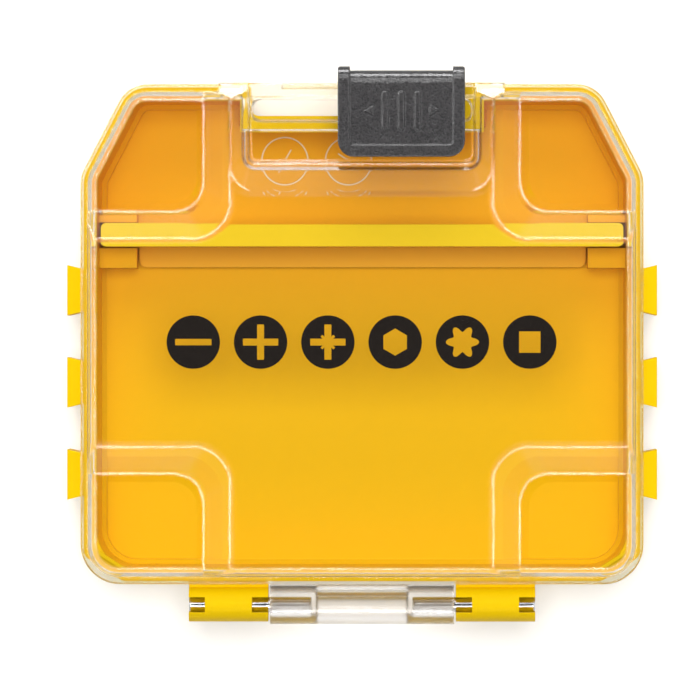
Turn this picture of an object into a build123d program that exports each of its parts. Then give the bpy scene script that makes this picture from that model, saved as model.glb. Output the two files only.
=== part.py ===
"""Small stackable accessory case: a moulded tray, a clear hinged lid, a sliding latch,
two hinge pins and a cross divider that lifts out.

Millimetres, +Z up. The case lies on its base with the lid on top, as it is used. The hinge is
along the rear edge, at -Y, and the latch is on the front edge, at +Y. The pieces are built about
the middle of the rim, and moved at the end so that the origin is under the middle of the box
round the whole case."""

from build123d import *
import os
from math import radians, tan

# Overall case
case_width = 114.6
case_depth = 101.8
case_height = 36.0
parting_height = 21.0
parting_gap = 0.15

# Outline of the rim, seen from above
front_cut_x = 9.6
front_cut_y = 18.7
front_cut_radius = 6.6
lid_rear_radius = 8.2
tray_rear_cut_x = 8.4
tray_rear_cut_y = 5.4
tray_rear_radius = 3.0
cavity_rear_radius = 11.0

# Moulded walls
wall = 1.7
draft_angle = 1.5
lid_draft_angle = 0.5
least_corner_radius = 0.5
tray_rim_inset = 0.6
tray_rim_height = 2.4
tray_rim_overhang = 0.9
tray_edge_bevel = 1.2
floor_thickness = 1.9
floor_corner_bevel = 1.0
lid_flange_height = 2.2
lid_flange_overhang = 1.7
lid_face_inset = 3.3
lid_bevel_height = 1.7
lid_plate = 1.7
lid_inner_bevel = 0.4

# Tongue around the tray's rim and the rebate in the lid that fits over it
tongue_width = 0.8
tongue_height = 0.9
tongue_clearance = 0.3

# Stacking: the lid's face is a raised cross, and the tray stands on four corner feet
stack_drop = 2.5
foot_height = 2.4
stack_clearance = 0.4
plateau_edge_x = 26.5
front_corner_depth = 31.6
rear_corner_depth = 28.2
corner_slope_run = 5.6
plateau_radius = 8.2
corner_foot_radius = 5.2

# Recess in the lid that the latch lies in
recess_half_width = 22.6
recess_length = 15.9
recess_depth = 4.4
recess_lip_depth = 1.4
recess_lip_run_y = 6.15
recess_edge_radius = 5.0
recess_wall_radius = 1.2
recess_wall_draft = 0.3
front_boss_half_width = 29.0
front_boss_depth = 6.0
front_boss_bevel_height = 3.0
rail_thickness = 2.9
rail_step = 1.6
rail_corner_radius = 2.4

# Pocket in the front of the tray, with the catch shelf over its right half
pocket_half_width = 22.9
pocket_depth = 6.4
pocket_rim_width = 3.3
pocket_corner_radius = 2.0
notch_end_x = 5.2

# Latch
latch_width = 25.7
latch_travel = 16.1
latch_rear_gap = 0.85
latch_running_gap = 0.3
latch_front_thickness = 2.2
latch_top_thickness = 1.8
latch_border_width = 2.4
latch_border_height = 0.8
latch_face_drop = 0.2
latch_edge_radius = 2.6
latch_corner_radius = 3.3
latch_front_corner_radius = 0.6
latch_field_radius = 0.8
latch_hook_height = 2.7
latch_hook_reach = 2.3
latch_rib_half_length = 8.0
latch_rib_height = 1.8
latch_rib_depth = 1.2
latch_rib_drop = 6.0
grip_rib_width = 1.25
grip_rib_length = 7.9
grip_rib_pitch = 3.3
grip_rib_height = 0.4
arrow_length = 1.8
arrow_width = 2.0
arrow_centre_x = 6.6
grip_from_front = 5.8

# Dials that mould inserts leave in the floor: a plain ring with a pointer in it
dial_radius = 4.9
dial_line_width = 0.3
dial_depth = 0.2
dial_from_front = 15.1
dial_pointer_length = 5.2
left_dial_x = -16.0
right_dial_x = -2.9
left_dial_heading = 60.0
right_dial_heading = 146.0

# Hinge: two steel pins, each in one tray knuckle and one end of the lid's knuckle
pin_diameter = 3.0
pin_end_bevel = 0.3
pin_end_gap = 0.15
pin_fit = 0.03
pin_running_fit = 0.08
hinge_from_rear = 4.2
hinge_height = 20.0
knuckle_gap = 0.35
knuckle_web = 1.0
tray_knuckle_inner_x = 19.1
tray_knuckle_length = 16.2
tray_knuckle_radius = 3.5
tray_knuckle_slot_length = 3.3
lid_knuckle_radius = 4.0
lid_knuckle_break_x = 10.3
lid_knuckle_core_diameter = 5.4

# Dovetail lugs on both sides
lug_count = 3
lug_pitch = 18.8
lug_centre_y = -9.8
lug_face_length = 10.3
lug_reach = 2.85
lug_flank_slope = 0.246
lug_bottom = 4.0
lug_top_drop = 0.8
lug_wall = 1.4

# Divider and the brackets that it stands in
divider_from_front = 30.75
divider_thickness = 4.5
divider_end_gap = 0.4
divider_floor_gap = 0.3
divider_top_drop = 0.5
divider_wall = 1.2
divider_rib_count = 5
divider_end_radius = 1.1
divider_foot_width = 4.1
divider_foot_thickness = 1.8
divider_foot_radius = 1.5
divider_clearance = 0.2
bracket_length = 7.9
bracket_height = 8.0
bracket_rear_thickness = 4.1
bracket_front_thickness = 1.8
bracket_foot_gap = 0.3

# Places that follow from the sizes above
half_width = case_width / 2
front_y = case_depth / 2
rear_y = -front_y
draft = tan(radians(draft_angle))
lid_draft = tan(radians(lid_draft_angle))
far = case_width + case_depth
tray_wall_inset = tray_rim_inset + tray_rim_overhang
cavity_inset = tray_wall_inset + wall
rim_underside = parting_height - tray_rim_height
floor_top = foot_height + floor_thickness
lid_bottom = parting_height + parting_gap
front_corner_y = front_y - front_corner_depth
rear_corner_y = front_y - rear_corner_depth
pocket_wall_y = front_y - pocket_depth
pocket_cavity_x = pocket_half_width + wall
pocket_cavity_y = pocket_wall_y - pocket_rim_width
recess_rear_y = front_y - recess_length
recess_floor = case_height - recess_depth
rail_y = front_y - rail_thickness
latch_x = latch_travel / 2
latch_rib_top = recess_floor - latch_rib_drop
hinge_y = rear_y - hinge_from_rear
divider_y = front_y - divider_from_front
divider_bottom = floor_top + divider_floor_gap
latch_inner_y = front_y + latch_running_gap
latch_field_y = latch_inner_y + latch_front_thickness
latch_outer_y = latch_field_y + latch_border_height
knuckle_rear_y = hinge_y - lid_knuckle_radius
overall_middle_y = (latch_outer_y + knuckle_rear_y) / 2


def case_corners(rear_cut_x=0.0, rear_cut_y=0.0):
    """Corners of the rim, counterclockwise from the right end of the rear edge."""
    right = [
        (half_width, rear_y + rear_cut_y),
        (half_width, front_y - front_cut_y),
        (half_width - front_cut_x, front_y),
    ]
    if rear_cut_x:
        right.insert(0, (half_width - rear_cut_x, rear_y))
    left = [(-x, y) for x, y in reversed(right)]
    return right + left


def inset_outline(corners, radii, inset):
    """Face inside the corners, each side moved in by the inset and each corner rounded."""
    moved = []
    for i, corner in enumerate(corners):
        here = Vector(*corner)
        arriving = (here - Vector(*corners[i - 1])).normalized()
        leaving = (Vector(*corners[(i + 1) % len(corners)]) - here).normalized()
        turn = arriving.cross(leaving).Z
        moved.append(here + (leaving - arriving) * (inset / turn))
    rounds = [max(radius - inset, least_corner_radius) for radius in radii]
    return make_face(FilletPolyline(*moved, radius=rounds, close=True))


def round_plan(rear_radius, inset):
    """Plan at an inset from the rim, with all of its corners round."""
    front = [front_cut_radius] * 4
    return inset_outline(case_corners(), [rear_radius, *front, rear_radius], inset)


def lid_plan(inset):
    return round_plan(lid_rear_radius, inset)


def cavity_plan(inset):
    """Plan of the tray's inside at an inset from the rim."""
    return round_plan(cavity_rear_radius, inset)


def tray_plan(inset):
    """Plan at an inset from the rim, with the tray's rear corners cut."""
    front = [front_cut_radius] * 4
    rear = [tray_rear_radius] * 2
    corners = case_corners(tray_rear_cut_x, tray_rear_cut_y)
    return inset_outline(corners, [*rear, *front, *rear], inset)


def through(*levels):
    """Solid through plans at rising heights, with straight flanks between them."""
    return loft([Pos(0, 0, height) * plan for height, plan in levels], ruled=True)


def slab(x_span, y_span, z_span):
    """Box between two limits on each axis."""
    size = [high - low for low, high in (x_span, y_span, z_span)]
    corner = Pos(x_span[0], y_span[0], z_span[0])
    return corner * Box(*size, align=(Align.MIN, Align.MIN, Align.MIN))


def rounded_rectangle(x_span, y_span, radii):
    """Rectangle with its own radius at each corner, counterclockwise from the low corner."""
    corners = [
        (x_span[0], y_span[0]),
        (x_span[1], y_span[0]),
        (x_span[1], y_span[1]),
        (x_span[0], y_span[1]),
    ]
    return make_face(FilletPolyline(*corners, radius=radii, close=True))


def both_sides(solid):
    """The solid and its mirror image across the middle of the case."""
    return solid + mirror(solid, about=Plane.YZ)


def corner_blocks(upper, drop, outward, depth):
    """Blocks over the four stacking corners. Their flanks slope from the plateau edge, at the
    upper height, to the foot line, one drop lower, and then go straight down by the depth."""
    blocks = []
    for edge_y, flip in ((front_corner_y, False), (rear_corner_y, True)):
        edge_x = plateau_edge_x + outward
        edge = edge_y + outward
        foot_x = edge_x + corner_slope_run
        foot = edge + corner_slope_run
        edge_plan = rounded_rectangle((edge_x, far), (edge, far), [plateau_radius, 0, 0, 0])
        foot_plan = rounded_rectangle((foot_x, far), (foot, far), [corner_foot_radius, 0, 0, 0])
        block = through((upper - drop, foot_plan), (upper, edge_plan))
        block += Pos(0, 0, upper) * extrude(edge_plan, case_height)
        if depth:
            block += Pos(0, 0, upper - drop - depth) * extrude(foot_plan, depth)
        if flip:
            block = mirror(block, about=Plane.XZ)
        blocks += [block, mirror(block, about=Plane.YZ)]
    return blocks


def latch_pocket(x_span, y_start, z_span):
    """Opening in the front wall with rounded inner corners."""
    radius = pocket_corner_radius
    plan = rounded_rectangle(x_span, (y_start, far), [radius, radius, 0, 0])
    return Pos(0, 0, z_span[0]) * extrude(plan, z_span[1] - z_span[0])


def mouth_plan():
    """Plan inside the tray's tongue, with the latch pocket standing into it."""
    radius = pocket_corner_radius + wall
    x_span = (-pocket_cavity_x, pocket_cavity_x)
    pocket = rounded_rectangle(x_span, (pocket_cavity_y, far), [radius, radius, 0, 0])
    return tray_plan(cavity_inset) - pocket


def pocket_surround(gap):
    """Block round the latch pocket, where the tray and the lid meet without tongue and rebate."""
    half = pocket_cavity_x + wall + gap
    return slab((-half, half), (pocket_cavity_y - wall - gap, far), (-far, far))


def tray_shell():
    """Tray walls, rim, floor with its lower corners, and the latch pocket in its front."""
    bottom_inset = tray_wall_inset + rim_underside * draft
    shell = through(
        (0, tray_plan(bottom_inset + tray_edge_bevel)),
        (tray_edge_bevel, tray_plan(bottom_inset)),
        (rim_underside, tray_plan(tray_wall_inset)),
    )
    shell += Pos(0, 0, rim_underside) * extrude(tray_plan(tray_rim_inset), tray_rim_height)

    channels = slab((-far, far), (-far, far), (-far, foot_height))
    for foot in corner_blocks(foot_height, foot_height, stack_clearance, foot_height):
        channels -= foot
    shell -= channels

    mouth = parting_height + tongue_height
    cavity_foot = cavity_inset + (parting_height - floor_top) * draft
    floor_plan = cavity_plan(cavity_foot + floor_corner_bevel)
    cavity = through(
        (floor_top, floor_plan),
        (floor_top + floor_corner_bevel, cavity_plan(cavity_foot)),
        (mouth, cavity_plan(cavity_inset)),
    )
    sunk_area = Pos(0, 0, floor_thickness) * extrude(floor_plan, foot_height)
    for block in corner_blocks(floor_top, foot_height, stack_clearance + wall, 0):
        cavity += block & sunk_area
    wall_x = (-pocket_cavity_x, pocket_cavity_x)
    lower_wall = slab(wall_x, (pocket_wall_y - wall, far), (-far, rim_underside))
    upper_wall = slab(wall_x, (pocket_cavity_y, far), (rim_underside, far))
    shell -= cavity - lower_wall - upper_wall - both_sides(bracket())

    pocket_span = (-pocket_half_width, pocket_half_width)
    shell -= latch_pocket(pocket_span, pocket_wall_y, (-far, rim_underside))
    shell -= latch_pocket((-pocket_half_width, notch_end_x), pocket_wall_y, (-far, far))

    shell -= floor_dial(left_dial_x, left_dial_heading)
    shell -= floor_dial(right_dial_x, right_dial_heading)

    tongue_plan = offset(mouth_plan(), tongue_width) - mouth_plan()
    tongue = Pos(0, 0, parting_height) * extrude(tongue_plan, tongue_height)
    return shell + (tongue - pocket_surround(tongue_clearance))


def floor_dial(x, heading):
    """Ring and pointer, sunk in the tray's floor."""
    ring = Circle(dial_radius) - Circle(dial_radius - dial_line_width)
    pointer = SlotOverall(dial_pointer_length, dial_line_width, rotation=heading)
    place = Pos(x, front_y - dial_from_front, floor_top - dial_depth)
    return place * extrude(ring + pointer, dial_depth)


def tray_lugs():
    """Dovetail lugs on both sides, wider at their outer face and cored from below."""
    root_x = half_width - tray_wall_inset - wall / 2
    face_x = half_width + lug_reach
    top = parting_height - lug_top_drop

    def dovetail(x_from, x_to, margin):
        half_far = lug_face_length / 2 - (face_x - x_to) * lug_flank_slope - margin
        half_near = lug_face_length / 2 - (face_x - x_from) * lug_flank_slope - margin
        return Polygon(
            (x_from, -half_near), (x_to, -half_far), (x_to, half_far), (x_from, half_near), align=None
        )

    lug = Pos(0, 0, lug_bottom) * extrude(dovetail(root_x, face_x, 0), top - lug_bottom)
    lowest_outer = lug.edges().filter_by(Axis.Y).group_by(Axis.Z)[0].sort_by(Axis.X)[-1]
    lug = chamfer(lowest_outer, lug_wall)
    core_x = half_width - tray_wall_inset + lug_wall / 2
    core = dovetail(core_x, face_x - lug_wall, lug_wall)
    lug -= Pos(0, 0, lug_bottom) * extrude(core, top - lug_wall - lug_bottom)
    lugs = []
    for i in range(lug_count):
        y = lug_centre_y + (i - (lug_count - 1) / 2) * lug_pitch
        lugs.append(Pos(0, y, 0) * lug)
    return [*lugs, *[mirror(one, about=Plane.YZ) for one in lugs]]


def along_x(diameter, x_from, x_to):
    """Round bar on the hinge axis."""
    bar = Cylinder(diameter / 2, x_to - x_from, align=(Align.CENTER, Align.CENTER, Align.MIN))
    return Pos(x_from, hinge_y, hinge_height) * Rot(0, 90, 0) * bar


def channel(width, x_from, x_to, upwards):
    """Slot of the bar's width that opens from the hinge axis to above or below."""
    z_span = (hinge_height, far) if upwards else (-far, hinge_height)
    return slab((x_from, x_to), (hinge_y - width / 2, hinge_y + width / 2), z_span)


def tray_knuckle():
    """Right knuckle of the tray. Its bore is formed from above at both ends and from below in
    the middle, so that the mould needs no side core and the pin shows in the open ends."""
    x_from = tray_knuckle_inner_x
    x_to = x_from + tray_knuckle_length
    bore = pin_diameter + 2 * pin_fit
    wall_y = rear_y + tray_wall_inset + wall / 2
    knuckle = along_x(2 * tray_knuckle_radius, x_from, x_to)
    arm_z = (hinge_height - tray_knuckle_radius, hinge_height)
    knuckle += slab((x_from, x_to), (hinge_y, wall_y), arm_z)
    knuckle -= along_x(bore, x_from, x_to)
    for start, end, upwards in (
        (x_from, x_from + tray_knuckle_slot_length, True),
        (x_from + tray_knuckle_slot_length, x_to - tray_knuckle_slot_length, False),
        (x_to - tray_knuckle_slot_length, x_to, True),
    ):
        knuckle -= channel(bore, start, end, upwards)
    return knuckle


def bracket():
    """Right bracket: two lips on the side wall with the divider's slot between them. They run on
    down through the floor, so that they stay standing when the tray's cavity is cut."""
    x_span = (half_width - cavity_inset - bracket_length, far)
    z_span = (-far, floor_top + bracket_height)
    slot = divider_thickness / 2 + divider_clearance
    rear_lip_y = (divider_y - slot - bracket_rear_thickness, divider_y - slot)
    front_lip_y = (divider_y + slot, divider_y + slot + bracket_front_thickness)
    return slab(x_span, rear_lip_y, z_span) + slab(x_span, front_lip_y, z_span)


def tray():
    solid = tray_shell()
    for lug in tray_lugs():
        solid += lug
    return solid + both_sides(tray_knuckle())


def bevelled_prism(foot_inset, top, face_inset, bevel):
    """Drafted prism on the lid's plan, its top edge bevelled in to the inset of its face."""
    shoulder = top - bevel
    shoulder_inset = foot_inset + (shoulder - lid_bottom) * lid_draft
    return through(
        (lid_bottom, lid_plan(foot_inset)),
        (shoulder, lid_plan(shoulder_inset)),
        (top, lid_plan(face_inset)),
    )


def cross_topped(foot_inset, top, face_inset, bevel, outward, boss=None):
    """Lid form with a raised cross-shaped face and four lower stacking corners."""
    raised = bevelled_prism(foot_inset, top, face_inset, bevel)
    if boss:
        raised += boss
    for block in corner_blocks(top, stack_drop, outward, top - stack_drop):
        raised -= block
    return raised + bevelled_prism(foot_inset, top - stack_drop, face_inset, bevel)


def front_boss():
    """Thick middle of the lid's front edge, flush with the rim, which the latch wraps over."""
    back_y = front_y - front_boss_depth
    profile = Plane.YZ * Polygon(
        (back_y, lid_bottom),
        (front_y, lid_bottom),
        (front_y, case_height - front_boss_bevel_height),
        (front_y - lid_face_inset, case_height),
        (back_y, case_height),
        align=None,
    )
    return extrude(profile, front_boss_half_width, both=True)


def recess_cutter():
    """Latch recess: a shallow sloping lip, then a steep wall down to a flat floor."""
    lip_z = case_height - recess_lip_depth

    def bay(half, start, radius):
        return rounded_rectangle((-half, half), (start, far), [radius, radius, 0, 0])

    edge = bay(plateau_edge_x, recess_rear_y - recess_lip_run_y, recess_edge_radius)
    top_half = recess_half_width + recess_wall_draft
    wall_top = bay(top_half, recess_rear_y - recess_wall_draft, recess_wall_radius)
    wall_foot = bay(recess_half_width, recess_rear_y, recess_wall_radius)
    above = Pos(0, 0, case_height) * extrude(edge, case_height)
    cutter = through((recess_floor, wall_foot), (lip_z, wall_top), (case_height, edge)) + above
    rail = slab((-far, far), (rail_y, far), (-far, recess_floor + rail_step))
    return cutter - rail


def recess_core():
    """What stands inside the lid behind the latch recess, one wall thicker than the recess."""
    lip_z = case_height - lid_plate - recess_lip_depth
    half = recess_half_width + wall
    start = recess_rear_y - wall

    def bay(half_size, y_start, radius):
        return rounded_rectangle((-half_size, half_size), (y_start, far), [radius, radius, 0, 0])

    wall_plan = bay(half, start, recess_wall_radius + wall)
    edge_start = recess_rear_y - recess_lip_run_y - wall / 2
    edge = bay(plateau_edge_x + wall / 2, edge_start, recess_edge_radius)
    core = through((lip_z, wall_plan), (case_height - lid_plate, edge))
    floor_underside = recess_floor - lid_plate
    core += Pos(0, 0, floor_underside) * extrude(wall_plan, lip_z - floor_underside)
    closing_y = pocket_cavity_y + tongue_clearance
    closing_x = pocket_cavity_x - tongue_clearance
    return core + slab((-closing_x, closing_x), (closing_y, far), (-far, case_height))


def lid_knuckle():
    """Centre knuckle of the lid: two pin bearings with a hollow middle that opens downwards."""
    end_x = tray_knuckle_inner_x - knuckle_gap
    chamber_x = lid_knuckle_break_x - knuckle_web
    bearing = pin_diameter + 2 * pin_running_fit
    knuckle = along_x(2 * lid_knuckle_radius, -end_x, end_x)
    attach_y = rear_y + lid_flange_overhang + wall / 2
    arm_z = (lid_bottom, hinge_height + lid_knuckle_radius)
    knuckle += slab((-end_x, end_x), (hinge_y, attach_y), arm_z)
    knuckle -= along_x(lid_knuckle_core_diameter, -chamber_x, chamber_x)
    knuckle -= channel(lid_knuckle_core_diameter, -chamber_x, chamber_x, False)
    return knuckle - both_sides(along_x(bearing, lid_knuckle_break_x, end_x))


def lid():
    outer = cross_topped(
        lid_flange_overhang, case_height, lid_face_inset, lid_bevel_height, 0, front_boss()
    )
    outer += Pos(0, 0, lid_bottom) * extrude(lid_plan(0), lid_flange_height)
    inner_inset = cavity_inset - tongue_clearance
    inner = cross_topped(
        inner_inset, case_height - lid_plate, inner_inset + lid_inner_bevel, lid_inner_bevel, -wall / 2
    )
    solid = outer - (inner - recess_core()) - recess_cutter() + lid_knuckle()

    rebate_plan = offset(mouth_plan(), tongue_width + tongue_clearance)
    rebate = Pos(0, 0, lid_bottom) * extrude(rebate_plan, tongue_height + tongue_clearance)
    solid -= rebate - pocket_surround(0)

    closing_y = pocket_cavity_y + tongue_clearance + wall
    closing_x = pocket_cavity_x - tongue_clearance - wall
    radii = [pocket_corner_radius] * 2 + [rail_corner_radius] * 2
    pocket_plan = rounded_rectangle((-closing_x, closing_x), (closing_y, rail_y), radii)
    solid -= Pos(0, 0, lid_bottom) * extrude(pocket_plan, recess_floor - lid_plate - lid_bottom)

    groove_half = latch_x + latch_rib_half_length + latch_running_gap
    groove_bottom = latch_rib_top - latch_rib_height - latch_running_gap
    solid -= slab(
        (-groove_half, groove_half),
        (front_y - latch_rib_depth, far),
        (groove_bottom, latch_rib_top + latch_running_gap),
    )
    return solid


def side_profile(rear, bottom, front, top, radius):
    """Profile in the YZ plane with a round front top corner."""
    corners = [(rear, bottom), (front, bottom), (front, top), (rear, top)]
    return Plane.YZ * make_face(FilletPolyline(*corners, radius=[0, 0, radius, 0], close=True))


def latch():
    """Latch in its locked place: a plate over the rail, a front leg and a hook under the shelf."""
    half = latch_width / 2
    rear = recess_rear_y + latch_rear_gap
    border_z = case_height - latch_face_drop
    field_z = border_z - latch_border_height
    rail_top = recess_floor + rail_step
    hook_top = rim_underside - latch_running_gap
    bottom = hook_top - latch_hook_height
    skirt_z = recess_floor + latch_running_gap

    def bar(profile, half_length):
        return extrude(profile, half_length, both=True)

    solid = bar(side_profile(rear, bottom, latch_outer_y, border_z, latch_edge_radius), half)
    corner_radii = [latch_corner_radius] * 2 + [latch_front_corner_radius] * 2
    solid &= extrude(rounded_rectangle((-half, half), (rear, latch_outer_y), corner_radii), far)
    rail_gap_y = rail_y - latch_running_gap
    solid -= slab((-far, far), (-far, rail_gap_y), (-far, skirt_z))
    solid -= slab((-far, far), (rail_gap_y, latch_inner_y), (-far, rail_top + latch_running_gap))

    field_half = half - latch_border_width
    field_rear = rear + latch_border_width
    radii = [latch_field_radius, latch_field_radius, 0, 0]
    field_plan = rounded_rectangle((-field_half, field_half), (field_rear, far), radii)
    kept = bar(side_profile(rear - far, -far, latch_field_y, field_z, latch_edge_radius), far)
    solid -= extrude(field_plan, far) - kept

    plate_underside = field_z - latch_top_thickness
    core_front = rail_gap_y - latch_border_width
    core = rounded_rectangle((-field_half, field_half), (field_rear, core_front), radii)
    solid -= extrude(core, plate_underside)

    hook = slab((-half, half), (latch_inner_y - latch_hook_reach, latch_inner_y), (bottom, hook_top))
    lead_in = hook.edges().filter_by(Axis.X).sort_by(Axis.Y)[:2].sort_by(Axis.Z)[0]
    solid += chamfer(lead_in, latch_hook_reach / 2)
    solid += slab(
        (-latch_rib_half_length, latch_rib_half_length),
        (latch_inner_y - latch_rib_depth, latch_inner_y),
        (latch_rib_top - latch_rib_height, latch_rib_top),
    )

    grip_y = front_y - grip_from_front
    for i in (-1, 0, 1):
        rib = SlotOverall(grip_rib_length, grip_rib_width, rotation=90)
        solid += Pos(i * grip_rib_pitch, grip_y, field_z) * extrude(rib, grip_rib_height)
    tip = arrow_length / 2
    arrow = Polygon((tip, 0), (-tip, arrow_width / 2), (-tip, -arrow_width / 2), align=None)
    solid += both_sides(Pos(arrow_centre_x, grip_y, field_z) * extrude(arrow, grip_rib_height))
    return Pos(latch_x, 0, 0) * solid


def hinge_pin():
    """Right hinge pin, from inside the lid's bearing to the end of the tray's knuckle."""
    x_from = lid_knuckle_break_x + pin_end_gap
    pin = along_x(pin_diameter, x_from, tray_knuckle_inner_x + tray_knuckle_length)
    return chamfer(pin.edges().filter_by(GeomType.CIRCLE), pin_end_bevel)


def divider():
    """Hollow cross bar with ribs inside, and a foot strip along it between the brackets."""
    half_length = half_width - cavity_inset - divider_end_gap - (parting_height - floor_top) * draft
    half_thickness = divider_thickness / 2
    top = parting_height - divider_top_drop
    span_y = (divider_y - half_thickness, divider_y + half_thickness)
    bar_plan = rounded_rectangle((-half_length, half_length), span_y, [divider_end_radius] * 4)
    solid = Pos(0, 0, divider_bottom) * extrude(bar_plan, top - divider_bottom)
    ends = solid.edges().group_by(Axis.Z)[0].filter_by(Axis.Y)
    solid = chamfer(ends, floor_corner_bevel)

    cell_count = divider_rib_count + 1
    inner_length = 2 * (half_length - divider_wall)
    cell_pitch = (inner_length + divider_wall) / cell_count
    cell_y = (span_y[0] + divider_wall, span_y[1] - divider_wall)
    for i in range(cell_count):
        start = -half_length + divider_wall + i * cell_pitch
        solid -= slab((start, start + cell_pitch - divider_wall), cell_y, (-far, top - divider_wall))

    foot_half = half_width - cavity_inset - bracket_length - bracket_foot_gap
    radius = divider_foot_radius
    foot_span = (span_y[0] - divider_foot_width, span_y[0] + divider_wall)
    foot_plan = rounded_rectangle((-foot_half, foot_half), foot_span, [radius, radius, 0, 0])
    return solid + Pos(0, 0, divider_bottom) * extrude(foot_plan, divider_foot_thickness)


def main():
    os.makedirs("parts", exist_ok=True)
    right_pin = hinge_pin()
    pieces = {
        "tray": tray(),
        "lid": lid(),
        "latch": latch(),
        "hinge_pin_right": right_pin,
        "hinge_pin_left": mirror(right_pin, about=Plane.YZ),
        "divider": divider(),
    }
    for name, solid in pieces.items():
        export_step(Pos(0, -overall_middle_y, 0) * solid, f"parts/{name}.step")


main()
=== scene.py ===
"""Looks of the stackable accessory case: a yellow moulded tray and divider, a clear lid that is
printed on its inside, a black grained latch and steel hinge pins, on a white studio floor."""

import math

import bpy
import numpy as np
from mathutils import Matrix, Vector


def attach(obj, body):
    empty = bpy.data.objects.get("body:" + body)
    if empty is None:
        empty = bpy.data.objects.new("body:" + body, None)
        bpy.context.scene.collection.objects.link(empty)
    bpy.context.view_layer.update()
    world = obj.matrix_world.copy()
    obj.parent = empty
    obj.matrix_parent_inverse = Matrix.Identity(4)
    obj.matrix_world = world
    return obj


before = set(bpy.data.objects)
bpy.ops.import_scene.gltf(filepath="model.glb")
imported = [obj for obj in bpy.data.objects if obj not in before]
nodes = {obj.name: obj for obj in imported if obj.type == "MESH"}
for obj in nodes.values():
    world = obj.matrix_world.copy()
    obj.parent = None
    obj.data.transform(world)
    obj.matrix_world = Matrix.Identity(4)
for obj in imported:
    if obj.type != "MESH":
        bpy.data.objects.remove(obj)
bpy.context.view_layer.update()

# Colours, as linear red, green, blue and cover
# The tray's third colour, for its front, is painted shade: a deeper orange where the front wall
# shades the floor
tray_colours_with_front_shade = ((0.88, 0.57, 0.001, 1.0), (0.92, 0.55, 0.007, 1.0), (0.90, 0.47, 0.02, 1.0))
divider_colours = ((0.95, 0.66, 0.02, 1.0), (0.93, 0.50, 0.04, 1.0), (0.93, 0.50, 0.04, 1.0))
# Painted highlight: the pale colour of the dials stands in for the light their edges catch
dial_highlight_colour = (0.99, 0.88, 0.62, 1.0)
clear_colour = (0.985, 0.975, 0.955, 1.0)
clear_flange_colour = (1.0, 0.95, 0.76, 1.0)
clear_knuckle_colour = (0.96, 0.94, 0.92, 1.0)
clear_shadow_colour = (0.97, 0.96, 0.94, 1.0)
black_colours = ((0.016, 0.015, 0.016, 1.0), (0.045, 0.043, 0.044, 1.0))
black_scuff_colour = (0.16, 0.16, 0.16, 1.0)
steel_colours = ((0.68, 0.67, 0.66, 1.0), (0.50, 0.48, 0.46, 1.0))
ink_colours = ((0.012, 0.009, 0.008, 1.0), (0.019, 0.015, 0.013, 1.0))
floor_colour = (0.80, 0.80, 0.80, 1.0)

# Rounding of edges that the finishes show
clear_edge_radius = 0.0009
yellow_edge_radius = 0.0003
black_edge_radius = 0.00045
steel_edge_radius = 0.00015

# Grain and gloss that all the mouldings share
bump_smoothness = 0.6
finer_grain = 2.3
finer_grain_share = 0.5
gloss_patches = 60.0
noise_middle = 0.5
usual_noise = (0.3, 0.7)

# Hairline scuffs: how far each set is turned and how long its strokes are
scuff_sets = ((0.5, 14.0), (-0.9, 11.0), (1.9, 17.0))
scuff_scale = 60.0
scuff_line = (0.69, 0.74)
scuffed_patch = (0.5, 0.72)

# Black grain's peaks, the pins' drawn lines and tarnish, and the print's cover
black_peaks = (0.35, 0.95)
pin_line_scale = (9000.0, 60.0, 60.0)
tarnish_patch = (0.45, 0.75)
ink_cover = (0.3, 0.8)

# Where the tray's inside ends, each as the two ends of a soft change
tray_middle_y = 0.004
side_wall_x = (0.0536, 0.0546)
pocket_side_x = (0.0235, 0.0245)
front_wall_y = (0.0456, 0.0503)
front_wall_change = (0.0, 0.0008)
rear_wall_y = (-0.0463, -0.0455)
rim_z = (0.0185, 0.0207)
underside_z = (0.0014, 0.0016)
facing_down = (-0.6, -0.4)
corner_x = (0.033, 0.035)
corner_y = (0.026, 0.028)
corner_outward = (0.005, 0.02)
# Painted shade: over this span the inside's colour deepens from the rear colour to the shaded
# front colour
front_shade_y = (-0.03, 0.04)

# Dials in the tray's floor, coloured pale as a painted highlight of the light that their edges
# catch
dial_middle = (-0.00945, 0.03825)
dial_reach = (0.0125, 0.0056)
dial_edge = 0.0001
dial_floor = (0.00405, 0.00422)
dial_floor_edge = 0.00002

# The lid's rim flange and hinge knuckle, which are less polished than its cover
flange_z = (0.0235, 0.0240)
knuckle_y = (-0.0487, -0.0479)
flange_roughness = 0.16
cover_roughness = 0.012
knuckle_roughness = 0.12

# Lid plate that carries the print
lid_top = 0.0360
lid_plate = 0.0017

# Drive marks printed on the inside of the lid
mark_row_y = 0.00085
mark_pitch = 0.0136
mark_radius = 0.0054
mark_points = 240
ink_thickness = 0.00003
ink_gap = 0.00001

# Drives left open in the marks, as fractions of a mark's radius: half the length and width of
# each bar, and the middle radius and depth of the lobes
slot_bar = (0.68, 0.12)
cross_bar = (0.66, 0.13)
diagonal_bar = (0.34, 0.05)
hexagon_radius = 0.44
square_radius = 0.40
lobe_count, lobe_radius, lobe_depth = 6, 0.5, 0.12

# The photograph's view: where its centre looks, in the plane of the lid's rim
view_centre = Vector((-0.00244, -0.00075, 0.022))
view_width = 0.1426
camera_height = 1.60
camera_tilt = math.radians(0.5)
film_width = 36.0
camera_clip = (0.05, 20.0)

# Soft lamps: name, place, size and power
soft_lamps = (
    ("front lamp", (0.0, 1.0, 0.95), (0.9, 0.7), 6.3),
    ("overhead lamp", (0.0, 0.1, 1.1), (0.5, 0.5), 8.6),
)

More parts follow.
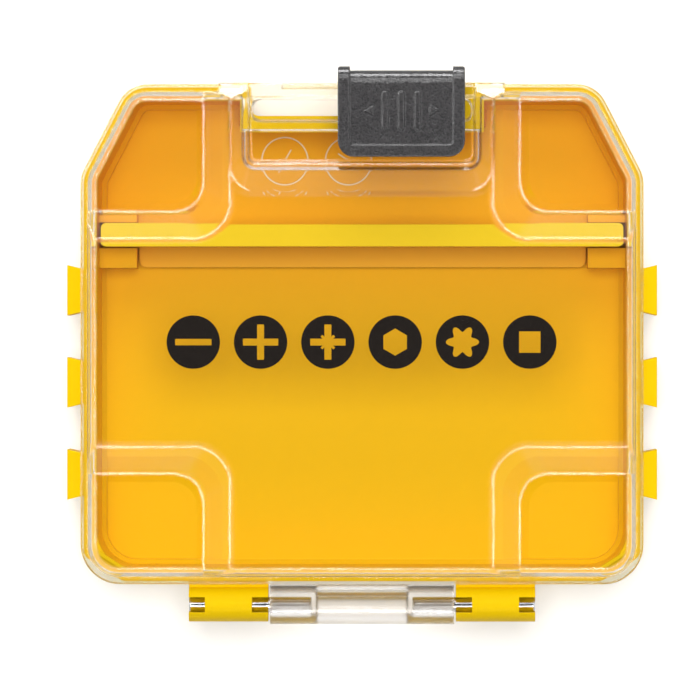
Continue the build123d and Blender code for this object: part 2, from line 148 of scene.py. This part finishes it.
# Studio that gloss mirrors. Lamps are placed by the sine of their angle from overhead, walls and
# the strip by their height: 0 at the horizon, 1 overhead
far_lamps = (0.515, 0.715)
near_lamps = (0.25, 0.41)
lamp_edge = 0.01
lamp_brightness = 14.0
lamps_nearer_at_sides = 1.25
corner_change = (0.10, 0.20)
dark_overhead = (0.49, 0.51)
dark_brightness = 0.06
wall_height, wall_brightness = (0.05, 0.60), (0.95, 0.30)
ceiling_height, ceiling_brightness = (0.77, 0.80), (0.0, 0.3)
strip_direction = (-0.6, 0.8)
strip_turn = (0.45, 0.75)
strip_height = (0.08, 0.34)
strip_edge = 0.04
strip_brightness = 22.0

# Light that comes through the clear plastic, dark from straight overhead and warm from the upper
# sides, and light on everything else
dark_overhead_height = (0.9860, 0.9905)
warm_height = (0.5, 0.7)
warm_aside = (0.1, 0.3)
warm_light = (0.85, 0.61, 0.21, 1.0)
white_light = (1.0, 1.0, 1.0, 1.0)
room_brightness = 0.28

# Studio floor: half its side, and how much it glows when seen
floor_half = 6.0
floor_glow = 0.4
floor_glow_through_plastic = 0.75


# ---------------------------------------------------------------- nodes


class Sheet:
    """A node tree with short calls for the nodes that the finishes use."""

    def __init__(self, tree):
        self.tree = tree

    def add(self, kind, values=(), **settings):
        node = self.tree.nodes.new(kind)
        for name, value in settings.items():
            setattr(node, name, value)
        self.feed_all(node, dict(values))
        return node

    def feed(self, socket, value):
        """Links an output to a socket, or sets the socket to a constant."""
        if isinstance(value, bpy.types.NodeSocket):
            self.tree.links.new(value, socket)
        else:
            socket.default_value = value

    def feed_all(self, node, values):
        for name, value in values.items():
            self.feed(node.inputs[name], value)

    def split(self, vector):
        """The X, Y and Z of a place or direction."""
        return self.add("ShaderNodeSeparateXYZ", {"Vector": vector}).outputs.values()

    def math(self, operation, *values):
        node = self.add("ShaderNodeMath", operation=operation)
        for socket, value in zip(node.inputs, values):
            self.feed(socket, value)
        return node.outputs[0]

    def product(self, *values):
        result = values[0]
        for value in values[1:]:
            result = self.math("MULTIPLY", result, value)
        return result

    def ramp(self, value, low, high, to_low=0.0, to_high=1.0):
        """Smooth step from one pair of values to another."""
        node = self.add("ShaderNodeMapRange", interpolation_type="SMOOTHSTEP")
        for socket, number in zip(node.inputs, (value, low, high, to_low, to_high)):
            self.feed(socket, number)
        return node.outputs[0]

    def fall(self, value, low, high):
        """Smooth step from 1 down to 0."""
        return self.ramp(value, low, high, 1.0, 0.0)

    def between(self, value, low, high, soft):
        """Mask that is 1 between two limits and fades over a soft margin outside them."""
        return self.product(self.ramp(value, low - soft, low), self.fall(value, high, high + soft))

    def mix_numbers(self, share, a, b):
        node = self.add("ShaderNodeMix", data_type="FLOAT")
        for index, value in ((0, share), (2, a), (3, b)):
            self.feed(node.inputs[index], value)
        return node.outputs[0]

    def mix(self, share, a, b, blend="MIX"):
        """Two colours mixed. A Mix node has its colour sockets at 6 and 7, and at 2."""
        node = self.add("ShaderNodeMix", data_type="RGBA", blend_type=blend)
        for index, value in ((0, share), (6, a), (7, b)):
            self.feed(node.inputs[index], value)
        return node.outputs[2]

    def rounded(self, radius):
        """Normal that turns smoothly over each edge, as on a real moulding."""
        return self.add("ShaderNodeBevel", {"Radius": radius}, samples=6).outputs[0]

    def bump(self, height, strength, distance, normal):
        values = {"Height": height, "Strength": strength, "Distance": distance, "Normal": normal}
        return self.add("ShaderNodeBump", values).outputs[0]

    def noise(self, place, scale, detail):
        values = {"Vector": place, "Scale": scale, "Detail": detail}
        return self.add("ShaderNodeTexNoise", values).outputs["Fac"]


def group(name, inputs, outputs):
    """An empty shader group that starts from a place: its sheet, its inputs and its outputs."""
    tree = bpy.data.node_groups.new(name, "ShaderNodeTree")
    tree.interface.new_socket("Place", in_out="INPUT", socket_type="NodeSocketVector")
    for in_out, labels in (("INPUT", inputs), ("OUTPUT", outputs)):
        for label in labels:
            tree.interface.new_socket(label, in_out=in_out, socket_type="NodeSocketFloat")
    sheet = Sheet(tree)
    return sheet, sheet.add("NodeGroupInput").outputs, sheet.add("NodeGroupOutput").inputs


def moulded_grain():
    """Fine grain of a sparked mould: small rounded bumps with a finer noise on them, and a slow
    change of gloss over the piece."""
    labels = ("Grain per metre", "Gloss", "Gloss change")
    s, given, out = group("moulded grain", labels, ("Height", "Roughness"))
    place, grain = given["Place"], given["Grain per metre"]
    values = {"Vector": place, "Scale": grain, "Smoothness": bump_smoothness}
    cells = s.add("ShaderNodeTexVoronoi", values, feature="SMOOTH_F1")
    finer = s.noise(place, scale=s.math("MULTIPLY", grain, finer_grain), detail=2.0)
    height = s.math("MULTIPLY_ADD", finer, finer_grain_share, cells.outputs["Distance"])
    s.feed(out["Height"], height)
    slow = s.noise(place, scale=gloss_patches, detail=3.0)
    change = s.math("MULTIPLY", s.math("SUBTRACT", slow, noise_middle), given["Gloss change"])
    s.feed(out["Roughness"], s.math("MULTIPLY_ADD", change, 2.0, given["Gloss"]))
    return s.tree


def handling_marks():
    """Faint hairline scuffs that a little use leaves, as a mask from 0 to 1."""
    s, given, out = group("handling marks", ("Amount",), ("Mask",))
    strokes = None
    for turn, length in scuff_sets:
        turned = s.add("ShaderNodeMapping", {"Vector": given["Place"]})
        turned.inputs["Rotation"].default_value = (0.0, 0.0, turn)
        turned.inputs["Scale"].default_value = (scuff_scale, scuff_scale * length, scuff_scale)
        stroke = s.ramp(s.noise(turned.outputs[0], scale=4.0, detail=1.0), *scuff_line)
        strokes = stroke if strokes is None else s.math("MAXIMUM", strokes, stroke)
    where = s.ramp(s.noise(given["Place"], scale=45.0, detail=2.0), *scuffed_patch)
    s.feed(out["Mask"], s.product(strokes, where, given["Amount"]))
    return s.tree


grain_group = moulded_grain()
marks_group = handling_marks()


def grained(s, place, per_metre, gloss, change):
    """Height and roughness of moulded grain."""
    values = {"Place": place, "Grain per metre": per_metre, "Gloss": gloss, "Gloss change": change}
    outputs = s.add("ShaderNodeGroup", values, node_tree=grain_group).outputs
    return outputs["Height"], outputs["Roughness"]


def scuffed(s, place, amount):
    """Mask of the handling marks."""
    values = {"Place": place, "Amount": amount}
    return s.add("ShaderNodeGroup", values, node_tree=marks_group).outputs["Mask"]


def material(name):
    """A new material, its sheet, its Principled shader, the place in the object and its output."""
    made = bpy.data.materials.new(name)
    made.use_nodes = True
    made.node_tree.nodes.clear()
    s = Sheet(made.node_tree)
    shader = s.add("ShaderNodeBsdfPrincipled")
    output = s.add("ShaderNodeOutputMaterial", {"Surface": shader.outputs[0]})
    place = s.add("ShaderNodeTexCoord").outputs["Object"]
    return made, s, shader, place, output


def tray_inside(s, place):
    """Mask that is 1 on the tray's inner faces and 0 on its bare outside. Near the corners a face
    is outside if it faces away from the tray's middle."""
    x, y, z = s.split(place)
    facing_x, facing_y, facing_z = s.split(s.add("ShaderNodeNewGeometry").outputs["Normal"])
    aside = s.math("ABSOLUTE", x)
    ahead = s.math("SUBTRACT", y, tray_middle_y)
    front_wall = s.ramp(aside, *pocket_side_x, *front_wall_y)
    outward = s.math("MULTIPLY_ADD", facing_x, x, s.math("MULTIPLY", facing_y, ahead))
    corner = s.product(s.ramp(aside, *corner_x), s.ramp(s.math("ABSOLUTE", ahead), *corner_y))
    corner_outside = s.product(corner, s.ramp(outward, *corner_outward))
    return s.product(
        s.fall(aside, *side_wall_x),
        s.fall(s.math("SUBTRACT", y, front_wall), *front_wall_change),
        s.ramp(y, *rear_wall_y),
        s.fall(z, *rim_z),
        s.ramp(z, *underside_z),
        s.ramp(facing_z, *facing_down),
        s.math("SUBTRACT", 1.0, corner_outside),
    )


def dial_highlight_faces(s, place):
    """Mask that is 1 on the dials in the tray's floor, where the pale painted highlight goes."""
    x, y, z = s.split(place)
    faces = s.between(z, *dial_floor, dial_floor_edge)
    for along, middle, reach in zip((x, y), dial_middle, dial_reach):
        faces = s.product(faces, s.between(along, middle - reach, middle + reach, dial_edge))
    return faces


def yellow_plastic(name, outside, rear, front):
    """Coloured moulding. The colour is a little deeper inside the tray than on its bare outside,
    and deepest towards the front, where the deepening is painted shade of the front wall and
    divider."""
    made, s, shader, place, _ = material(name)
    _, y, _ = s.split(place)
    # Painted shade: the inside deepens towards the front, where the front wall and divider shade
    # the floor
    inside = s.mix(s.ramp(y, *front_shade_y), rear, front)
    colour = s.mix(tray_inside(s, place), outside, inside)
    # Painted highlight: the dials are coloured pale
    colour = s.mix(dial_highlight_faces(s, place), colour, dial_highlight_colour)
    mottle = s.ramp(s.noise(place, scale=900.0, detail=3.0), *usual_noise, to_low=0.985)
    height, roughness = grained(s, place, per_metre=3200.0, gloss=0.36, change=0.1)
    rounded = s.rounded(yellow_edge_radius)
    s.feed_all(shader, {
        "Base Color": s.mix(1.0, colour, mottle, blend="MULTIPLY"),
        "Roughness": s.math("ADD", roughness, scuffed(s, place, amount=0.12)),
        "Normal": s.bump(height, strength=0.12, distance=0.00004, normal=rounded),
        "IOR": 1.5,
        "Specular IOR Level": 0.1,
    })
    return made


def clear_plastic(name):
    """Clear moulding. Lamps and bounced light pass straight through, so that what is inside is
    lit, and the camera sees it bent by the lid's form."""
    made, s, shader, place, output = material(name)
    _, y, z = s.split(place)
    knuckle = s.fall(y, *knuckle_y)
    colour = s.mix(s.fall(z, *flange_z), clear_colour, clear_flange_colour)
    polish = s.ramp(z, *flange_z, flange_roughness, cover_roughness)
    polish = s.math("MULTIPLY_ADD", knuckle, knuckle_roughness, polish)
    slow = s.ramp(s.noise(place, scale=35.0, detail=2.0), *usual_noise, to_high=0.012)
    worn = s.math("ADD", scuffed(s, place, amount=0.05), slow)
    flow = s.noise(place, scale=90.0, detail=1.0)
    rounded = s.rounded(clear_edge_radius)
    s.feed_all(shader, {
        "Base Color": s.mix(knuckle, colour, clear_knuckle_colour),
        "Roughness": s.math("ADD", worn, polish),
        "Normal": s.bump(flow, strength=0.02, distance=0.0002, normal=rounded),
        "Transmission Weight": 1.0,
        "IOR": 1.58,
        "Specular IOR Level": 1.0,
    })
    path = s.add("ShaderNodeLightPath")
    straight = s.add("ShaderNodeBsdfTransparent", {"Color": clear_shadow_colour})
    surface = shader.outputs[0]
    for ray in ("Is Diffuse Ray", "Is Shadow Ray"):
        mixed = s.add("ShaderNodeMixShader")
        for socket, value in zip(mixed.inputs, (path.outputs[ray], surface, straight.outputs[0])):
            s.feed(socket, value)
        surface = mixed.outputs[0]
    s.feed(output.inputs["Surface"], surface)
    return made


def black_plastic(name):
    """Black moulding with the leathery grain of a sparked mould."""
    made, s, shader, place, _ = material(name)
    height, roughness = grained(s, place, per_metre=2200.0, gloss=0.15, change=0.05)
    colour = s.mix(s.ramp(height, *black_peaks), *black_colours)
    rounded = s.rounded(black_edge_radius)
    s.feed_all(shader, {
        "Base Color": s.mix(scuffed(s, place, amount=0.15), colour, black_scuff_colour),
        "Roughness": roughness,
        "Normal": s.bump(height, strength=0.28, distance=0.00014, normal=rounded),
        "Specular IOR Level": 0.32,
    })
    return made


def drawn_steel(name):
    """Drawn steel pin: rings of fine lines round the pin, and a little tarnish."""
    made, s, shader, place, _ = material(name)
    stretched = s.add("ShaderNodeMapping", {"Vector": place, "Scale": pin_line_scale})
    lines = s.noise(stretched.outputs[0], scale=1.0, detail=3.0)
    tarnish = s.ramp(s.noise(place, scale=500.0, detail=3.0), *tarnish_patch)
    rounded = s.rounded(steel_edge_radius)
    s.feed_all(shader, {
        "Metallic": 1.0,
        "Base Color": s.mix(tarnish, *steel_colours),
        "Roughness": s.ramp(lines, *usual_noise, to_low=0.07, to_high=0.14),
        "Normal": s.bump(lines, strength=0.06, distance=0.00001, normal=rounded),
    })
    return made


def screen_ink(name):
    """Black screen print, very slightly uneven in cover."""
    made, s, shader, place, _ = material(name)
    uneven = s.ramp(s.noise(place, scale=2500.0, detail=2.0), *ink_cover)
    s.feed_all(shader, {
        "Base Color": s.mix(uneven, *ink_colours),
        "Roughness": s.ramp(uneven, 0.0, 1.0, to_low=0.45, to_high=0.6),
        "Specular IOR Level": 0.03,
    })
    return made


# ---------------------------------------------------------------- pieces


def bar_edge(angle, half_length, half_width):
    """Distance from the centre of a bar to its outline: the nearer of its end, half the length
    over the cosine of the angle, and its side, half the width over the sine."""
    tiny = 1e-9
    along = half_length / np.maximum(np.abs(np.cos(angle)), tiny)
    across = half_width / np.maximum(np.abs(np.sin(angle)), tiny)
    return np.minimum(along, across)


def crossed_bars(first, second, bar):
    """Outline of two bars of one size laid across each other: the farther of the two."""
    return np.maximum(bar_edge(first, *bar), bar_edge(second, *bar))


def polygon_edge(angle, sides, radius):
    """Distance to the side of a regular polygon: its inner radius over the cosine of the angle
    from the side's middle."""
    step = 2 * np.pi / sides
    off = (angle + step / 2) % step - step / 2
    return radius / np.cos(off)


def drive_outlines(angle):
    """Polar outlines of common screw drives, as fractions of the disc's radius: bars, polygons,
    and a lobed one whose radius is a middle value plus a cosine with one wave for each lobe."""
    cross = crossed_bars(angle, angle + np.pi / 2, cross_bar)
    diagonals = crossed_bars(angle + np.pi / 4, angle - np.pi / 4, diagonal_bar)
    return [
        bar_edge(angle, *slot_bar),
        cross,
        np.maximum(cross, diagonals),
        polygon_edge(angle, 6, hexagon_radius),
        lobe_radius + lobe_depth * np.cos(lobe_count * angle),
        polygon_edge(angle, 4, square_radius),
    ]


def drive_marks(finish):
    """Row of printed discs with the drives left open in them. Each disc is a ring between its
    drive's outline and a circle, closed all round as a thin layer of ink."""
    angle = np.linspace(0, 2 * np.pi, mark_points, endpoint=False)
    turn = np.stack([np.cos(angle), np.sin(angle)], axis=1)
    top = lid_top - lid_plate - ink_gap
    bottom = top - ink_thickness
    outlines = drive_outlines(angle)
    step = np.arange(mark_points)
    after = (step + 1) % mark_points
    points, faces = [], []
    for i, outline in enumerate(outlines):
        centre = np.array([(i - (len(outlines) - 1) / 2) * mark_pitch, mark_row_y])
        inner = centre + turn * (outline * mark_radius)[:, None]
        outer = centre + turn * mark_radius
        rings = [(inner, top), (outer, top), (outer, bottom), (inner, bottom)]
        start = len(rings) * mark_points * i
        for a, (ring, height) in enumerate(rings):
            points.append(np.column_stack([ring, np.full(mark_points, height)]))
            low = start + a * mark_points
            high = start + (a + 1) % len(rings) * mark_points
            faces.append(np.column_stack([low + step, high + step, high + after, low + after]))
    mesh = bpy.data.meshes.new("drive_marks")
    mesh.from_pydata(np.concatenate(points).tolist(), [], np.concatenate(faces).tolist())
    mesh.update()
    mesh.materials.append(finish)
    piece = bpy.data.objects.new("drive_marks", mesh)
    bpy.context.scene.collection.objects.link(piece)
    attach(piece, "lid")


def coat(finish, *names):
    """Gives CAD pieces their finish."""
    for name in names:
        materials = nodes[name].data.materials
        materials.clear()
        materials.append(finish)


coat(yellow_plastic("yellow plastic", *tray_colours_with_front_shade), "tray")
coat(yellow_plastic("bright yellow plastic", *divider_colours), "divider")
coat(clear_plastic("clear plastic"), "lid")
coat(black_plastic("black plastic"), "latch")
coat(drawn_steel("drawn steel"), "hinge_pin_left", "hinge_pin_right")
drive_marks(screen_ink("black ink"))


# ---------------------------------------------------------------- studio


def studio_floor():
    """Large white floor. It keeps the object's shadow, and reads as white where nothing shades
    it."""
    half = floor_half
    corners = [(-half, -half, 0), (half, -half, 0), (half, half, 0), (-half, half, 0)]
    mesh = bpy.data.meshes.new("floor")
    mesh.from_pydata(corners, [], [(0, 1, 2, 3)])
    floor = bpy.data.objects.new("floor", mesh)
    bpy.context.scene.collection.objects.link(floor)
    made, s, shader, place, output = material("white floor")
    shader.inputs["Base Color"].default_value = floor_colour
    speck = s.noise(place, scale=40.0, detail=2.0)
    s.feed(shader.inputs["Roughness"], s.ramp(speck, *usual_noise, to_low=0.75, to_high=0.85))
    rays = s.add("ShaderNodeLightPath").outputs
    through = rays["Is Transmission Ray"]
    seen = s.math("MULTIPLY_ADD", through, floor_glow_through_plastic, rays["Is Camera Ray"])
    glow = s.add("ShaderNodeEmission", {"Strength": s.math("MULTIPLY", seen, floor_glow)})
    both = s.add("ShaderNodeAddShader")
    s.feed(both.inputs[0], shader.outputs[0])
    s.feed(both.inputs[1], glow.outputs[0])
    s.feed(output.inputs["Surface"], both.outputs[0])
    mesh.materials.append(made)


def mirrored_studio(s, x, y, height):
    """Brightness that gloss shows: dark overhead, lamps round that, nearer overhead in the
    corners than on the four sides, grey walls that turn white at the horizon, and a bright strip
    at the front left."""
    wall = s.ramp(height, *wall_height, *wall_brightness)
    ceiling = s.ramp(height, *ceiling_height, *ceiling_brightness)
    wide = s.math("MULTIPLY", x, lamps_nearer_at_sides)
    slant = s.math("SQRT", s.math("MULTIPLY_ADD", wide, wide, s.math("MULTIPLY", y, y)))
    flat = s.math("MULTIPLY_ADD", x, x, s.math("MULTIPLY", y, y))
    crosswise = s.math("DIVIDE", s.math("ABSOLUTE", s.math("MULTIPLY", x, y)), flat)
    near = s.between(s.math("SQRT", flat), *near_lamps, lamp_edge)
    far = s.between(slant, *far_lamps, lamp_edge)
    nearer = s.math("SUBTRACT", near, far)
    ring = s.math("MULTIPLY_ADD", s.ramp(crosswise, *corner_change), nearer, far)
    walls = s.product(s.math("ADD", wall, ceiling), s.ramp(slant, *dark_overhead))
    lit = s.math("MULTIPLY_ADD", ring, lamp_brightness, walls)
    along_x, along_y = strip_direction
    front_left = s.math("MULTIPLY_ADD", x, along_x, s.math("MULTIPLY", y, along_y))
    strip_band = s.between(height, *strip_height, strip_edge)
    strip = s.product(s.ramp(front_left, *strip_turn), strip_band)
    lit = s.math("MULTIPLY_ADD", strip, strip_brightness, lit)
    return s.math("MAXIMUM", lit, dark_brightness)


def studio_world():
    """Gloss mirrors the studio. Light that comes through the clear plastic is even, and warm from
    the upper sides. Everything else is lit by a plain grey, and the camera sees white."""
    world = bpy.data.worlds.new("studio")
    bpy.context.scene.world = world
    world.use_nodes = True
    world.node_tree.nodes.clear()
    s = Sheet(world.node_tree)
    x, y, height = s.split(s.add("ShaderNodeTexCoord").outputs["Generated"])
    rays = s.add("ShaderNodeLightPath").outputs
    through = rays["Is Transmission Ray"]
    mirrored = mirrored_studio(s, x, y, height)
    seen_through = s.ramp(height, *dark_overhead_height, 1.0, dark_brightness)
    bright = s.mix_numbers(rays["Is Glossy Ray"], room_brightness, mirrored)
    bright = s.mix_numbers(through, bright, seen_through)
    aside = s.ramp(s.math("ABSOLUTE", x), *warm_aside)
    warm = s.product(through, s.product(s.ramp(height, *warm_height), aside))
    sky = s.add("ShaderNodeBackground", {
        "Color": s.mix(warm, white_light, warm_light),
        "Strength": s.math("MAXIMUM", bright, rays["Is Camera Ray"]),
    })
    s.add("ShaderNodeOutputWorld", {"Surface": sky.outputs[0]})


def softbox(name, place, size, power):
    """Rectangular soft lamp that lights the object and is never seen itself."""
    data = bpy.data.lights.new(name, "AREA")
    data.shape = "RECTANGLE"
    data.size, data.size_y = size
    data.energy = power
    lamp = bpy.data.objects.new(name, data)
    bpy.context.scene.collection.objects.link(lamp)
    lamp.location = place
    towards_object = Vector((0.0, 0.0, 0.0)) - Vector(place)
    lamp.rotation_euler = towards_object.to_track_quat("-Z", "Y").to_euler()
    lamp.visible_camera = False
    lamp.visible_glossy = False
    lamp.visible_transmission = False


def photo_camera():
    """Camera that looks nearly straight down, from as far away as the photograph's."""
    data = bpy.data.cameras.new("camera")
    camera = bpy.data.objects.new("camera", data)
    bpy.context.scene.collection.objects.link(camera)
    away = Vector((math.tan(camera_tilt), 0.0, 1.0)) * camera_height
    camera.location = view_centre + away
    back = away.normalized()
    right = Vector((0.0, 1.0, 0.0)).cross(back).normalized()
    camera.rotation_euler = Matrix((right, back.cross(right), back)).transposed().to_euler()
    data.sensor_width = film_width
    data.lens = data.sensor_width * away.length / view_width
    data.clip_start, data.clip_end = camera_clip
    bpy.context.scene.camera = camera


studio_floor()
studio_world()
for lamp in soft_lamps:
    softbox(*lamp)
photo_camera()
bpy.context.scene.view_settings.view_transform = "Standard"
